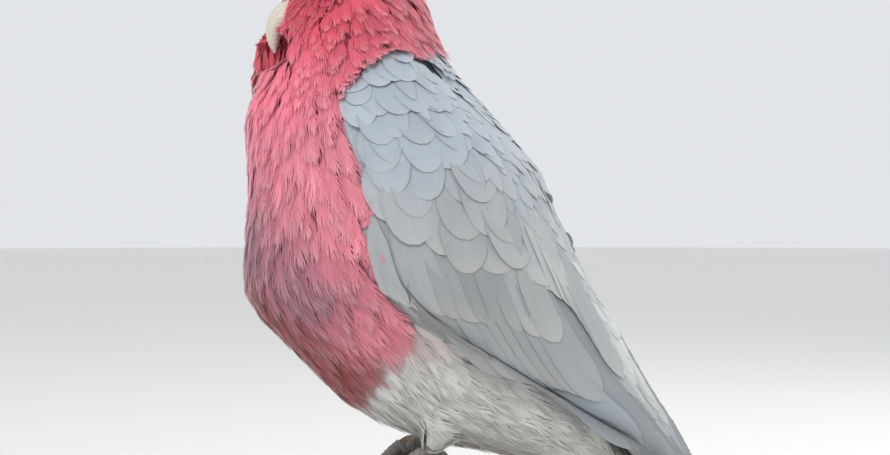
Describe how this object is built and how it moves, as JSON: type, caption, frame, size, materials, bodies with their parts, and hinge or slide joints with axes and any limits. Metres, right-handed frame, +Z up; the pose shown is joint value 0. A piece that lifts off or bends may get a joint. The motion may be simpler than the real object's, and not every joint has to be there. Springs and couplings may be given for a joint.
{
  "type": "galah",
  "caption": "Life-size still model of a resting galah, rose breast and grey wings, gripping a short cut branch on a flat display stand.",
  "frame": {"origin": "middle of the whole model's footprint, at the underside of the stand's base", "axes": "+Z up; the bird's breast faces -X, its tail +X, its left side -Y; the perch runs along Y"},
  "size_m": [0.2385, 0.15, 0.3615],
  "materials": {
    "rose_plumage": "soft fringed contour feathers in coral and rose pink, standing in under fabric",
    "grey_plumage": "smooth silvery grey vanes, standing in under fabric",
    "crest_plumage": "short pale pink crest feathers laid flat, standing in under fabric",
    "bill_horn": "satin bone-coloured horn with fine growth lines",
    "bare_skin": "bare grey skin, finely pebbled",
    "foot_skin": "dark grey scaled foot skin",
    "claw_horn": "satin dark horn",
    "eye": "wet dark brown eye",
    "bark": "rough dry bark with sawn ends",
    "satin_steel": "satin turned rod and collar",
    "oiled_wood": "dark oiled hardwood, eased rim"
  },
  "bodies": {
    "root": {"head": "rose_plumage", "neck": "rose_plumage", "trunk": "rose_plumage", "crest": "crest_plumage", "thigh_left": "rose_plumage", "wing_left": "grey_plumage", "eye_left": "eye", "eye_ring_left": "bare_skin", "shin_left": "foot_skin", "toe_left_1": "foot_skin", "claw_left_1": "claw_horn", "toe_left_2": "foot_skin", "claw_left_2": "claw_horn", "toe_left_3": "foot_skin", "claw_left_3": "claw_horn", "toe_left_4": "foot_skin", "claw_left_4": "claw_horn", "thigh_right": "rose_plumage", "wing_right": "grey_plumage", "eye_right": "eye", "eye_ring_right": "bare_skin", "shin_right": "foot_skin", "toe_right_1": "foot_skin", "claw_right_1": "claw_horn", "toe_right_2": "foot_skin", "claw_right_2": "claw_horn", "toe_right_3": "foot_skin", "claw_right_3": "claw_horn", "toe_right_4": "foot_skin", "claw_right_4": "claw_horn", "tail": "grey_plumage", "bill_upper": "bill_horn", "bill_lower": "bill_horn", "cere": "bare_skin", "stand_perch": "bark", "stand_rod": "satin_steel", "stand_collar": "satin_steel", "stand_base": "oiled_wood"}
  },
  "joints": []
}
